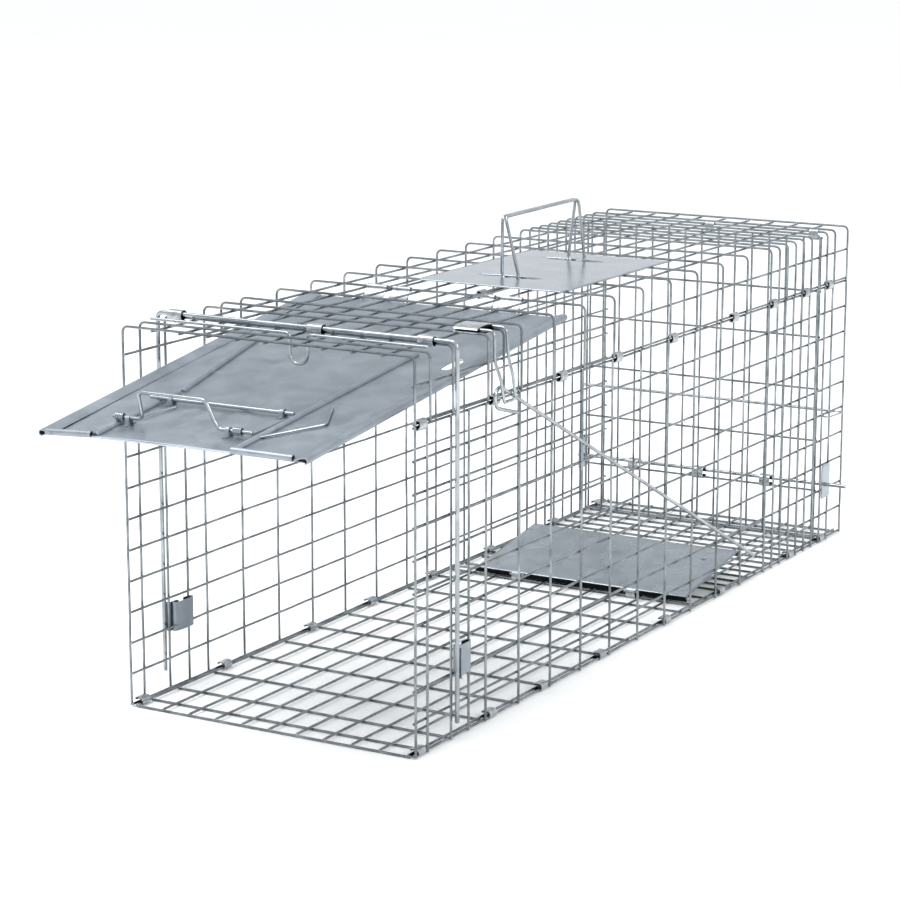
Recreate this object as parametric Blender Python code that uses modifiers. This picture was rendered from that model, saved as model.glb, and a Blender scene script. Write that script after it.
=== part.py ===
"""Live catch trap, set: a folding cage of welded mesh with a drop door, trip plate and wire linkage.

Metres. +Z is up, +X runs across the cage to its right side, +Y runs from the open front to the rear.
The origin is at floor level, under the middle of the cage's front edge.
"""
import math

import bmesh
import bpy
from mathutils import Vector

MM = 0.001
GAP = 0.3  # between pieces that touch, in millimetres like every size below

# cage
LENGTH, HALF_WIDTH, TOP = 813.0, 131.0, 305.0
WIRE = 2.2  # mesh wire
FLOOR_Z, SIDE_TOP, SEAM = 2.3, TOP - 53.0, TOP - 49.2  # SEAM is the lower edge of the top panel's legs
FLOOR_HALF = HALF_WIDTH - 6.0
REAR_Y, REAR_HALF, REAR_BOTTOM, REAR_TOP = LENGTH - 49.6, FLOOR_HALF, 6.0, TOP - 5.5
SHEET = 0.9

# front frame, dip rod
ROD_R, FRAME_Y, FRAME_X, FRAME_FOOT = 1.8, 52.5, HALF_WIDTH + 5.2, 15.0
FRAME_Z = TOP + WIRE / 2 + GAP + ROD_R
CLIP_WIRE_Y = 55.0  # the top wire that the frame's clips hold
DIP_R, DIP_Y = 1.25, 27.0

# door, in its own frame: x across, y back to the hinge, z up from the hinge wire
HINGE_Y, HINGE_Z, DOOR_TILT = 265.0, TOP, 7.5
DOOR_HALF, DOOR_LENGTH, DOOR_DROP = 121.0, 385.0, 8.0
DOOR_TOP = -DOOR_DROP + SHEET / 2
HEM_R, RIB_R = 2.6, 1.7
CRANK_Y, CRANK_Z, CRANK_R, CRANK_RISE = -355.0, DOOR_TOP + 4.6, 1.4, 21.0
LATCH_ROD_Y, LATCH_ROD_R = -304.0, 1.6
LATCH_ROD_Z = -DOOR_DROP + RIB_R + GAP + 0.1 + LATCH_ROD_R

# trip plate and its linkage
PLATE_Y, PLATE_Z, PLATE_TILT, PLATE_DEPTH = 490.0, 6.4, 9.0, 112.0
PLATE_LEFT, PLATE_RIGHT = -96.0, 119.0
PIVOT_R, LINK_R = 1.5, 1.5
LINK_X, STIRRUP_X, STIRRUP_R = HALF_WIDTH + 4.6, HALF_WIDTH + 7.8, 1.25
GUIDE_Y, GUIDE_Z = 128.0, TOP - 46.0  # where the rod passes through the stirrup

# carrying handle and guard plate
HANDLE_X, HANDLE_FRONT, HANDLE_REAR = 14.0, 352.0, 472.0
HANDLE_AXIS_Z, HANDLE_TOP = TOP - 4.0, TOP + 56.5
HANDLE_R, HANDLE_SPREAD = 1.4, 7.0
GUARD = (-50.0, 88.0, 306.0, 506.0)  # x, x, y, y
SLOT_X, SLOT_LONG, SLOT_WIDE = 12.0, 61.0, 12.0

# rear lock
LOCK_ROD = (REAR_Y + 4.1, 58.5)  # y, z
LOCK_PIN, PIN_R = (REAR_Y + 8.6, 131.0), 1.5

ZINC_WIRE = (0.62, 0.65, 0.68)
ZINC_SHEET = (0.55, 0.60, 0.63)
ZINC_RING = (0.50, 0.53, 0.56)


def clear_scene():
    for obj in list(bpy.data.objects):
        bpy.data.objects.remove(obj, do_unlink=True)
    for old in list(bpy.data.collections):
        bpy.data.collections.remove(old)


def collection(name, cutters=False):
    made = bpy.data.collections.new(name)
    bpy.context.scene.collection.children.link(made)
    made.hide_render = cutters
    return made


def material(name, colour, roughness, metallic=1.0):
    made = bpy.data.materials.new(name)
    made.use_nodes = True
    shader = made.node_tree.nodes["Principled BSDF"]
    shader.inputs["Base Color"].default_value = (*colour, 1.0)
    shader.inputs["Roughness"].default_value = roughness
    shader.inputs["Metallic"].default_value = metallic
    made.diffuse_color = (*colour, 1.0)
    return made


def place(obj, colour, roughness=0.35, parent=None):
    """Put obj in the trap's collection with a material of its own."""
    TRAP.objects.link(obj)
    obj.data.materials.append(material(obj.name + "_zinc", colour, roughness))
    obj.parent = parent
    return obj


def as_cutter(obj, parent=None):
    CUTTERS.objects.link(obj)
    obj.hide_render = True
    obj.display_type = "WIRE"
    obj.parent = parent
    return obj


def scaled(points):
    return [tuple(c * MM for c in p) for p in points]


def rounded(points, radius, steps=3, cyclic=False):
    """The polyline with each inner corner replaced by a short arc of about this radius."""
    pts = [Vector(p) for p in points]
    out = []
    count = len(pts)
    for i, here in enumerate(pts):
        if not cyclic and i in (0, count - 1):
            out.append(here)
            continue
        before, after = pts[i - 1] - here, pts[(i + 1) % count] - here
        reach = min(radius, before.length * 0.45, after.length * 0.45)
        start, end = here + before.normalized() * reach, here + after.normalized() * reach
        for k in range(steps + 1):
            t = k / steps
            out.append(start * (1 - t) ** 2 + here * 2 * t * (1 - t) + end * t**2)
    return [tuple(p) for p in out]


def curve_object(name, points, cyclic=False, dimensions="3D"):
    data = bpy.data.curves.new(name, "CURVE")
    data.dimensions = dimensions
    line = data.splines.new("POLY")
    line.points.add(len(points) - 1)
    for slot, p in zip(line.points, scaled(points)):
        slot.co = (*p, *([0.0] * (3 - len(p))), 1.0)
    line.use_cyclic_u = cyclic
    return bpy.data.objects.new(name, data)


def wire(name, points, radius, cyclic=False, sides=1, origin=(0, 0, 0)):
    """A round wire through the points, which are measured from its origin."""
    obj = curve_object(name, points, cyclic)
    obj.data.bevel_depth = radius * MM
    obj.data.bevel_resolution = sides
    obj.data.use_fill_caps = not cyclic
    obj.location = scaled([origin])[0]
    return obj


def strip(points, thickness):
    """The outline of a bent sheet whose middle line is this open 2-D polyline."""
    pts = [Vector(p) for p in points]
    left, right = [], []
    for i, p in enumerate(pts):
        ways = []
        if i > 0:
            ways.append((p - pts[i - 1]).normalized())
        if i < len(pts) - 1:
            ways.append((pts[i + 1] - p).normalized())
        along = sum(ways, Vector((0, 0))).normalized()
        side = Vector((-along.y, along.x))
        reach = thickness / 2 / max(0.5, side.dot(Vector((-ways[0].y, ways[0].x))))
        left.append(p + side * reach)
        right.append(p - side * reach)
    return [tuple(p) for p in left + right[::-1]]


def extruded(name, outline, length, origin, along="X"):
    """A 2-D outline drawn across X or Y and extruded evenly each way along it."""
    obj = curve_object(name, outline, cyclic=True, dimensions="2D")
    obj.data.fill_mode = "BOTH"
    obj.data.extrude = length * MM / 2
    obj.rotation_euler = (math.pi / 2, 0, math.pi / 2 if along == "X" else 0)
    obj.location = scaled([origin])[0]
    return obj


def to_mesh(obj):
    """The object again as a mesh, in the same place, and the curve removed."""
    name = obj.name
    BENCH.objects.link(obj)
    bpy.context.view_layer.update()
    graph = bpy.context.evaluated_depsgraph_get()
    data = bpy.data.meshes.new_from_object(obj.evaluated_get(graph))
    matrix = obj.matrix_world.copy()
    bpy.data.objects.remove(obj, do_unlink=True)
    shape = bmesh.new()
    shape.from_mesh(data)
    bmesh.ops.remove_doubles(shape, verts=shape.verts, dist=0.000005)
    bmesh.ops.recalc_face_normals(shape, faces=shape.faces)
    shape.to_mesh(data)
    shape.free()
    made = bpy.data.objects.new(name, data)
    made.matrix_world = matrix
    return made


def box(name, low, high):
    shape = bmesh.new()
    bmesh.ops.create_cube(shape, size=1.0)
    for v in shape.verts:
        v.co = Vector([(a + b) / 2 + (b - a) * c for a, b, c in zip(low, high, v.co)]) * MM
    data = bpy.data.meshes.new(name)
    shape.to_mesh(data)
    shape.free()
    return bpy.data.objects.new(name, data)


def cylinder(name, centre, radius, length, along="X", sides=20):
    shape = bmesh.new()
    bmesh.ops.create_cone(
        shape, cap_ends=True, segments=sides, radius1=radius * MM, radius2=radius * MM, depth=length * MM
    )
    data = bpy.data.meshes.new(name)
    shape.to_mesh(data)
    shape.free()
    obj = bpy.data.objects.new(name, data)
    obj.location = scaled([centre])[0]
    obj.rotation_euler = {"X": (0, math.pi / 2, 0), "Y": (math.pi / 2, 0, 0), "Z": (0, 0, 0)}[along]
    return obj


def boolean(obj, other, operation, parent=None):
    as_cutter(other, parent)
    step = obj.modifiers.new(f"{operation.lower()} {other.name}", "BOOLEAN")
    step.operation, step.object, step.solver = operation, other, "EXACT"


def mesh_panel(name, section, lengths):
    """Welded mesh: a grid whose rows follow a section (x, z) and whose columns are at lengths y."""
    shape = bmesh.new()
    bmesh.ops.create_grid(shape, x_segments=len(lengths) - 1, y_segments=len(section) - 1, size=1.0)
    for v in shape.verts:
        column = round((v.co.x + 1) / 2 * (len(lengths) - 1))
        row = round((v.co.y + 1) / 2 * (len(section) - 1))
        v.co = Vector((section[row][0], lengths[column], section[row][1])) * MM
    data = bpy.data.meshes.new(name)
    shape.to_mesh(data)
    shape.free()
    obj = bpy.data.objects.new(name, data)
    return as_wires(obj)


def as_wires(obj):
    bars = obj.modifiers.new("wires", "WIREFRAME")
    bars.thickness = WIRE * MM
    bars.use_even_offset = True
    bars.use_boundary = True
    return obj


def spread(start, end, count):
    return [start + (end - start) * k / count for k in range(count + 1)]


def cage_panels():
    """The four hinged panels and the rear one. Every second wire of the close mesh is drawn."""
    side_y = [0.0, 52.0] + spread(105.0, 630.0, 10) + spread(667.4, 779.6, 3) + [LENGTH]
    top_y = [0.0, CLIP_WIRE_Y, 108.0, 132.0, 160.0] + spread(212.5, 632.5, 8) + [669.9, 707.3, 744.7, REAR_Y, LENGTH]
    floor_y = [0.0, 55.0] + spread(106.0, 437.5, 6) + [490.0, 542.5] + spread(585.0, 775.0, 5) + [LENGTH]
    rows = spread(FLOOR_Z, SIDE_TOP, 5)
    for side, name in ((-1, "left_side_panel"), (1, "right_side_panel")):
        place(mesh_panel(name, [(side * HALF_WIDTH, z) for z in rows], side_y), ZINC_WIRE)
    across = spread(-HALF_WIDTH, HALF_WIDTH, 5)
    section = [(-HALF_WIDTH, SEAM)] + [(x, TOP) for x in across] + [(HALF_WIDTH, SEAM)]
    place(mesh_panel("top_panel", section, top_y), ZINC_WIRE)
    floor = [(x, FLOOR_Z) for x in spread(-FLOOR_HALF, FLOOR_HALF, 5)]
    place(mesh_panel("floor_panel", floor, floor_y), ZINC_WIRE)
    rear = mesh_panel("rear_panel", [(x, 0.0) for x in spread(-REAR_HALF, REAR_HALF, 7)],
                      [REAR_BOTTOM, 52.2, 101.6, 152.4, 203.2, 247.6, REAR_TOP])
    # the grid was laid flat: stand it up on the rear plane
    rear.rotation_euler = (math.pi / 2, 0, 0)
    rear.location = (0, REAR_Y * MM, 0)
    place(rear, ZINC_WIRE)


def c_ring(name, centre, width, height, length, along="Y", turn=0):
    """A sheet ring bent round a hollow of this width and height, its slit turned by quarter turns."""
    w, h, cut = width / 2 + SHEET / 2, height / 2 + SHEET / 2, 0.6
    slit = min(w, h) * 0.3
    line = [(-w, -slit), (-w, cut - h), (cut - w, -h), (w - cut, -h), (w, cut - h), (w, h - cut),
            (w - cut, h), (cut - w, h), (-w, h - cut), (-w, slit)]
    if turn:
        line = [(-x, z) for x, z in line][::-1]
    obj = extruded(name, strip(line, SHEET), length, centre, along)
    return place(obj, ZINC_RING, 0.45)


def seam_rings():
    """Hog rings that hinge the panels to each other: they hold an edge wire of each."""
    thick = WIRE + 2 * GAP
    middle = (SIDE_TOP + SEAM) / 2
    tall = SEAM - SIDE_TOP + thick
    low_x, wide = (HALF_WIDTH + FLOOR_HALF) / 2, HALF_WIDTH - FLOOR_HALF + thick
    seams = {
        "top_left": (-HALF_WIDTH, middle, thick, tall, (8.0, 228.0, 432.0, 644.0, 796.0), 1),
        "top_right": (HALF_WIDTH, middle, thick, tall, (8.0, 228.0, 432.0, 644.0, 796.0), 0),
        "floor_left": (-low_x, FLOOR_Z, wide, thick, (8.0, 250.0, 460.0, 560.0, 796.0), 1),
        "floor_right": (low_x, FLOOR_Z, wide, thick, (8.0, 199.0, 429.0, 690.0, 796.0), 0),
    }
    for seam, (x, z, width, height, places, turn) in seams.items():
        for number, y in enumerate(places, 1):
            c_ring(f"{seam}_ring_{number}", (x, y, z), width, height, 10.5, turn=turn)


def front_frame():
    """The U of rod over the front of the cage, the clips it turns in and the catches for its legs."""
    drop = FRAME_FOOT - FRAME_Z
    path = [(-FRAME_X, 0, drop), (-FRAME_X, 0, 0), (FRAME_X, 0, 0), (FRAME_X, 0, drop)]
    frame = wire("front_frame", rounded(path, 4.5), ROD_R, sides=2, origin=(0, FRAME_Y, FRAME_Z))
    place(frame, ZINC_WIRE, 0.28)
    # each clip holds the frame's bar and the mesh wire under it
    low, high = TOP - WIRE / 2 - GAP, FRAME_Z + ROD_R + GAP
    front, back = FRAME_Y - ROD_R - GAP, max(CLIP_WIRE_Y + WIRE / 2, FRAME_Y + ROD_R) + GAP
    for name, x in (("left", -118.0), ("middle", 12.0), ("right", 110.0)):
        c_ring(f"frame_clip_{name}", (x, (front + back) / 2, (low + high) / 2), back - front, high - low, 13.0,
               along="X")
    # a catch is a channel that opens forwards, with a plate one mesh cell high behind it
    inner = HALF_WIDTH + WIRE / 2 + GAP + SHEET / 2 + 0.1
    outer = FRAME_X + ROD_R + GAP + SHEET / 2
    back = FRAME_Y + ROD_R + GAP + SHEET / 2
    for name, side, rear, z in (("left", -1, 85.0, 59.5), ("right", 1, 82.0, 61.5)):
        line = [(outer, FRAME_Y - 4.5), (outer, back - 1), (outer - 1, back), (inner + 0.6, back),
                (inner + 0.6, back + 0.9), (inner, back + 3), (inner, rear)]
        catch = extruded(f"frame_catch_{name}", strip([(side * x, -y) for x, y in line], SHEET), 24.0, (0, 0, z))
        catch.rotation_euler = (math.pi, 0, 0)
        place(catch, ZINC_SHEET, 0.4)
    z = TOP + WIRE / 2 + GAP + DIP_R
    dip = [(-124, 0, 0), (5, 0, 0), (5, 0, -18), (9, 0, -23), (17, 0, -23), (21, 0, -18), (21, 0, 0), (126, 0, 0)]
    place(wire("dip_rod", rounded(dip, 4, 2), DIP_R, origin=(0, DIP_Y, z)), ZINC_WIRE)


def circle_line(cy, cz, radius, start, end, steps):
    """Points of an arc in the y-z plane, its angles in degrees from +y towards +z."""
    out = []
    for k in range(steps + 1):
        a = math.radians(start + (end - start) * k / steps)
        out.append((cy + radius * math.cos(a), cz + radius * math.sin(a)))
    return out


def door():
    """The sheet door with its hems, ribs and hinge tabs, and the parts that ride on it."""
    curl = WIRE / 2 + GAP + SHEET / 2
    line = circle_line(-DOOR_LENGTH, -DOOR_DROP + HEM_R - SHEET / 2, HEM_R - SHEET / 2, 30, 270, 6)
    line += [(-14.0, -DOOR_DROP), (-curl - 1.5, -DOOR_DROP + 3.5)] + circle_line(0, 0, curl, 205, -90, 8)
    shell = extruded("door_panel", strip(line, SHEET), 2 * DOOR_HALF, (0, 0, 0))
    panel = to_mesh(shell)
    for vertex in panel.data.vertices:
        vertex.co = panel.matrix_world @ vertex.co
    panel.matrix_world.identity()
    panel.rotation_euler = (math.radians(DOOR_TILT), 0, 0)
    panel.location = (0, HINGE_Y * MM, HINGE_Z * MM)
    place(panel, ZINC_SHEET, 0.4)
    # only two tabs of the hinge edge reach up to the wire
    edges = ((-DOOR_HALF - 5, -74.0), (-32.0, 44.0), (74.0, DOOR_HALF + 5))
    for number, (low, high) in enumerate(edges):
        boolean(panel, box(f"tab_cutter_{number}", (low, -13.0, -12.0), (high, 9.0, 9.0)), "DIFFERENCE", panel)
    slot = box("door_slot_cutter", (94.0, -166.0, -12.0), (103.0, -140.0, -4.0))
    boolean(panel, slot, "DIFFERENCE", panel)
    for name, side in (("left", -1), ("right", 1)):
        hem = [(side * DOOR_HALF, -DOOR_LENGTH + 4, -DOOR_DROP + 1.2), (side * DOOR_HALF, -20, -DOOR_DROP + 1.2)]
        boolean(panel, to_mesh(wire(f"door_hem_{name}", hem, HEM_R)), "UNION", panel)
    ribs = {
        "left_front": ((-72, -378), (-70, -285)),
        "left": ((-69, -277), (-91, -142)),
        "right": ((50, -378), (57, -140)),
    }
    for name, ends in ribs.items():
        path = [(x, y, -DOOR_DROP + 0.1) for x, y in ends]
        boolean(panel, to_mesh(wire(f"door_rib_{name}", path, RIB_R)), "UNION", panel)
    saddles = (("crank_left", -57.0, CRANK_Y, CRANK_Z, CRANK_R), ("crank_right", 27.0, CRANK_Y, CRANK_Z, CRANK_R),
               ("rod_left", -60.0, LATCH_ROD_Y, LATCH_ROD_Z, LATCH_ROD_R),
               ("rod_right", 40.0, LATCH_ROD_Y, LATCH_ROD_Z, LATCH_ROD_R))
    for name, x, y, z, radius in saddles:
        reach = radius + GAP + SHEET / 2
        arch = [(y + reach + 3.5, DOOR_TOP - 0.1), (y + reach, DOOR_TOP - 0.1)]
        arch += circle_line(y, z, reach, 0, 180, 6) + [(y - reach, DOOR_TOP - 0.1), (y - reach - 3.5, DOOR_TOP - 0.1)]
        piece = to_mesh(extruded(f"door_saddle_{name}", strip(arch, SHEET), 5.0, (x, 0, 0)))
        boolean(panel, piece, "UNION", panel)
    door_latch(panel)
    return panel


def coil_points(x0, turns, pitch, radius, start, steps=10):
    """A helix about the x axis through the origin."""
    out = []
    for k in range(int(turns * steps) + 1):
        a = start + 2 * math.pi * k / steps
        out.append((x0 + pitch * k / steps, radius * math.cos(a), radius * math.sin(a)))
    return out


def door_latch(panel):
    """The sprung wire crank, its springs, the straight rod behind it and the finger wire."""
    crank = [(-76, 0, 0), (-49, 0, 0), (-51, 0, CRANK_RISE), (9, 0, CRANK_RISE), (16, 0, 4), (19, 0, 0), (48, 0, 0)]
    place(wire("latch_crank", rounded(crank, 4), CRANK_R, sides=2, origin=(0, CRANK_Y, CRANK_Z)),
          ZINC_WIRE, 0.28, panel)
    rod = [(-79, 0, 0), (50, 0, 0)]
    place(wire("latch_rod", rod, LATCH_ROD_R, sides=2, origin=(0, LATCH_ROD_Y, LATCH_ROD_Z)), ZINC_WIRE, 0.28, panel)
    spring_r, turn_r = 0.6, CRANK_R + GAP + 0.6
    floor = DOOR_TOP - CRANK_Z + GAP + spring_r
    for name, x0, leg in (("left", -72.5, ((-63.5, 9, floor), (-50, 42, floor))),
                          ("right", 32.5, ((42, 9, floor), (47, 42, floor)))):
        path = coil_points(x0, 4.75, 1.4, turn_r, math.pi / 2) + list(leg)
        place(wire(f"latch_spring_{name}", path, spring_r, origin=(0, CRANK_Y, CRANK_Z)), ZINC_WIRE, 0.3, panel)
    finger = [(56, -359), (62, -358), (74, -346), (81, -312), (66, -277)]
    path = rounded([(x, y, DOOR_TOP + GAP + 1.0) for x, y in finger], 6)
    place(wire("finger_wire", path, 1.0), ZINC_WIRE, 0.3, panel)


def trigger():
    """The sheet sleeve on the top mesh and the wire stirrup that hangs from it beside the cage."""
    low, high = TOP - WIRE / 2 - GAP, TOP + WIRE / 2 + GAP + 2 * STIRRUP_R + GAP
    c_ring("trigger_sleeve", (111.5, 120.0, (low + high) / 2), 24.0 + WIRE + 2 * GAP, high - low, 21.0, along="X")
    z = TOP + WIRE / 2 + GAP + STIRRUP_R
    # beside the cage at first, then out round the rod
    near = STIRRUP_X - 4
    path = [(104, 110.8, z), (near, 110.8, z), (near, 111.5, TOP - 22), (STIRRUP_X, 113, TOP - 33),
            (STIRRUP_X, 119, TOP - 53.5), (LINK_X - 0.2, 128, TOP - 54.5), (STIRRUP_X, 137, TOP - 53.5),
            (STIRRUP_X, 132, TOP - 33), (near + 1, 131, TOP - 22), (near, 129.5, z), (104, 129.5, z)]
    place(wire("trigger_stirrup", rounded(path, 5, 2), STIRRUP_R), ZINC_WIRE, 0.3)


def trip_plate():
    """The tilted treadle, the wire it turns on and the long rod that it pulls."""
    curl = PIVOT_R + GAP + SHEET / 2
    line = circle_line(0, 0, curl, 300, 90, 7)
    line += [(PLATE_DEPTH - 1, curl)] + circle_line(PLATE_DEPTH, 0, curl, 90, -150, 7)
    plate = to_mesh(extruded("trip_plate", strip(line, SHEET), PLATE_RIGHT - PLATE_LEFT,
                             ((PLATE_LEFT + PLATE_RIGHT) / 2, 0, 0)))
    for vertex in plate.data.vertices:
        vertex.co = plate.matrix_world @ vertex.co
    plate.matrix_world.identity()
    plate.rotation_euler = (math.radians(PLATE_TILT), 0, 0)
    plate.location = (0, PLATE_Y * MM, PLATE_Z * MM)
    place(plate, ZINC_SHEET, 0.4)
    cuts = {
        "gap_left": ((-62, -8, -6), (-46, 5, 6)),
        "gap_right": ((56, -8, -6), (72, 5, 6)),
        "rear_curl": ((PLATE_LEFT - 5, PLATE_DEPTH - 4, -6), (94, PLATE_DEPTH + 6, 6)),
    }
    for name, (low, high) in cuts.items():
        boolean(plate, box(f"plate_cutter_{name}", low, high), "DIFFERENCE", plate)
    boolean(plate, cylinder("plate_hole_cutter", (97, 84, curl), 2.5, 6, "Z"), "DIFFERENCE", plate)
    place(wire("trip_pivot_wire", [(-119, PLATE_Y, PLATE_Z), (122, PLATE_Y, PLATE_Z)], PIVOT_R, sides=2), ZINC_WIRE)
    low, high = FLOOR_Z - WIRE / 2 - GAP, PLATE_Z + PIVOT_R + GAP
    for name, x in (("left", -54.0), ("right", 64.0)):
        c_ring(f"pivot_ring_{name}", (x, PLATE_Y + 0.3, (low + high) / 2), 2 * (PIVOT_R + GAP) + 0.6, high - low, 9.0,
               along="X")
    tilt = math.radians(PLATE_TILT)
    lower = Vector((LINK_X, PLATE_Y + PLATE_DEPTH * math.cos(tilt), PLATE_Z + PLATE_DEPTH * math.sin(tilt)))
    slope = (GUIDE_Z - lower.z) / (GUIDE_Y - lower.y)
    upper = Vector((LINK_X, 117.0, lower.z + slope * (117.0 - lower.y)))
    hook = [(LINK_X, 109.5, GUIDE_Z), (LINK_X, 113.0, GUIDE_Z - 11), (LINK_X, 146.0, GUIDE_Z - 20)]
    path = [Vector((98.0, lower.y, lower.z)), lower, upper] + [Vector(p) for p in hook]
    path = rounded([tuple(p - lower) for p in path], 4, 2)
    place(wire("trip_rod", path, LINK_R, sides=2, origin=tuple(lower)), ZINC_WIRE, 0.28)


def handle():
    """The guard plate on top of the cage and the doubled wire bail that comes up through its slots."""
    x0, x1, y0, y1 = GUARD
    low = TOP + WIRE / 2 + GAP
    plate = place(box("guard_plate", (x0, y0, low), (x1, y1, low + SHEET)), ZINC_SHEET, 0.4)
    for name, y in (("front", HANDLE_FRONT + 3), ("rear", HANDLE_REAR - 3)):
        cut = box(f"slot_cutter_{name}", (SLOT_X - SLOT_LONG / 2, y - SLOT_WIDE / 2, low - 3),
                  (SLOT_X + SLOT_LONG / 2, y + SLOT_WIDE / 2, low + 4))
        boolean(plate, cut, "DIFFERENCE")
    rise, knee, half = HANDLE_TOP - HANDLE_AXIS_Z, 9.0, (HANDLE_REAR - HANDLE_FRONT) / 2
    loops = []
    for side in (-1, 1):
        near, far = side * (HANDLE_R - 0.15), side * HANDLE_SPREAD
        path = [(near, -half, 0), (far, -half, knee), (near, -half, rise), (near, half, rise), (far, half, knee),
                (near, half, 0)]
        loops.append(to_mesh(wire("carry_handle" if side < 0 else "handle_loop", rounded(path, 5, 2, True),
                                  HANDLE_R, cyclic=True)))
    bail = place(loops[0], ZINC_WIRE, 0.28)
    bail.location = (HANDLE_X * MM, (HANDLE_FRONT + half) * MM, HANDLE_AXIS_Z * MM)
    boolean(bail, loops[1], "UNION", bail)


def rear_lock():
    """The rod and pin that hold the rear panel, with their brackets, rings and keeper."""
    y, z = LOCK_ROD
    place(wire("rear_lock_rod", [(-137, 0, 0), (156, 0, 0)], ROD_R, sides=2, origin=(0, y, z)), ZINC_WIRE, 0.28)
    plane = HALF_WIDTH + WIRE / 2 + GAP + SHEET / 2 + 0.1
    for name, side in (("left", -1), ("right", 1)):
        x = side * plane
        low, high = sorted((x - side * SHEET / 2, x + side * SHEET / 2))
        plate = box(f"rear_bracket_{name}", (low, y - 6.5, z - 12.5), (high, y + 12.5, z + 20))
        bracket = place(plate, ZINC_SHEET, 0.4)
        boolean(bracket, cylinder(f"bracket_hole_cutter_{name}", (x, y, z), ROD_R + GAP, 8), "DIFFERENCE")
    low, high, front, back = 52.2 - WIRE / 2 - GAP, z + ROD_R + GAP, REAR_Y - WIRE / 2 - GAP, y + ROD_R + GAP
    for name, x in (("left", -72.0), ("middle", 0.0), ("right", 72.0)):
        c_ring(f"rod_ring_{name}", (x, (front + back) / 2, (low + high) / 2), back - front, high - low, 9.0, along="X")
    low, high = REAR_TOP - WIRE / 2 - GAP, TOP + WIRE / 2 + GAP
    for name, x in (("left", 8.0), ("right", 117.0)):
        c_ring(f"hang_ring_{name}", (x, REAR_Y, (low + high) / 2), WIRE + 2 * GAP, high - low, 9.0, along="X")
    y, z = LOCK_PIN
    path = rounded([(-136.0, 0, 75 - z), (-136.0, 0, 0), (134.0, 0, 0)], 5)
    place(wire("rear_lock_pin", path, PIN_R, sides=2, origin=(0, y, z)), ZINC_WIRE, 0.28)
    keeper = [(127.5, 774.5), (131, 764), (134.5, 761), (138, 764), (138, 796), (134.5, 800), (129, 797), (127.5, 790)]
    path = [(x, yy, 125.8 - 0.04 * (yy - 780)) for x, yy in keeper]
    place(wire("pin_keeper_ring", path, 0.9, cyclic=True), ZINC_WIRE, 0.3)


clear_scene()
TRAP = collection("live_catch_trap")
CUTTERS = collection("cutters", cutters=True)
BENCH = bpy.context.scene.collection
cage_panels()
seam_rings()
front_frame()
door()
trigger()
trip_plate()
handle()
rear_lock()
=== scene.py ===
"""Looks for the live catch trap: every wire, ring and sheet of it, drawn round, rolled and welded.

Sizes are in millimetres and become metres in piece(). X runs across the cage, Y from its mouth to its rear
and Z up.
"""

import math

import bmesh
import bpy
import numpy as np
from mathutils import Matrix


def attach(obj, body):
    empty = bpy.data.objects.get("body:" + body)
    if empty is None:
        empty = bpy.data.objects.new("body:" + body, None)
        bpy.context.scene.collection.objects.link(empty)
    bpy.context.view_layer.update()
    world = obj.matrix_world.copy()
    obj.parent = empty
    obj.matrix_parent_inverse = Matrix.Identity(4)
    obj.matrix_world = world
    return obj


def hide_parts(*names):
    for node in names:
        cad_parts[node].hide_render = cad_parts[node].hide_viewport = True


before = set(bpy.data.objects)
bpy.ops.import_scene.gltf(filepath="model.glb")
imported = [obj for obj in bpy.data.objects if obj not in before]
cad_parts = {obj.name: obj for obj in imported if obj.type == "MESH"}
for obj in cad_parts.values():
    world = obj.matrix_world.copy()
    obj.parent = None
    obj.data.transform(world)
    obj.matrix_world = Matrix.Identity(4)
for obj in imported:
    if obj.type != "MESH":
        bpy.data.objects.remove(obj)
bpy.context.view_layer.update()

MM = 0.001
RNG = np.random.default_rng(11)

# mesh
MESH_R = 1.05
SINK = 1.65  # from one layer of wires to the other, so each weld sinks by a fifth of a wire
NUGGET, NUGGET_THIN = 1.35, 0.9  # half a weld nugget, along its wires and through them
LENGTH, HALF_WIDTH, TOP = 813.0, 131.0, 305.0
WIRE_FRONT, WIRE_REAR = -1.0, LENGTH + 1.6  # where the long wires of the sides and the top are cut
OVERHANG = 1.2  # of a wire past the last one it is welded to
OUTER_X, INNER_X = HALF_WIDTH + 0.1, HALF_WIDTH + 0.1 - SINK
OUTER_Z, INNER_Z = TOP + 0.1, TOP + 0.1 - SINK
SIDE_TOP, SEAM, FLOOR_Z = 252.2, 254.9, 2.3
FLOOR_LONG_Z, FLOOR_CROSS_Z, FLOOR_HALF = 2.6, 1.1, 125.0
REAR_Y, REAR_HALF = 763.4, 125.0
SHEET = 0.9
EDGE = 0.15  # how far the edges of a cut strip are broken
ROOF_WIRE_Z = 307.65  # middle of the formed wires that lie on the roof

# front frame and rear lock
ROD_R = 1.8
FRAME_X, FRAME_Y, FRAME_TOP = 136.2, 52.5, 308.2
CLIP_Y, CLIP_LOW, CLIP_HIGH, CLIP_WIDE = 53.4, 303.3, 310.6, 7.0
CATCH_X, CATCH_FRONT, CATCH_WIDE = 130.7, 57.0, 4.4
LOCK_Y, LOCK_Z = 767.5, 58.5

# door, in its own frame: y back to the hinge wire, z up from it
HINGE = np.array([0.0, 265.0, 305.0])
DOOR_TILT, DOOR_HALF, DOOR_LENGTH, DOOR_DROP = math.radians(7.5), 121.0, 385.0, 8.0
DOOR_TOP, DOOR_SAG = -DOOR_DROP + SHEET / 2, 4.5
HEM_R = 2.15  # middle of the sheet in the door's rolls and hems
CRANK, CRANK_R = (-355.0, DOOR_TOP + 4.6), 1.4
LATCH_ROD, LATCH_ROD_R = (-304.0, -DOOR_DROP + 3.7), 1.6

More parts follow.
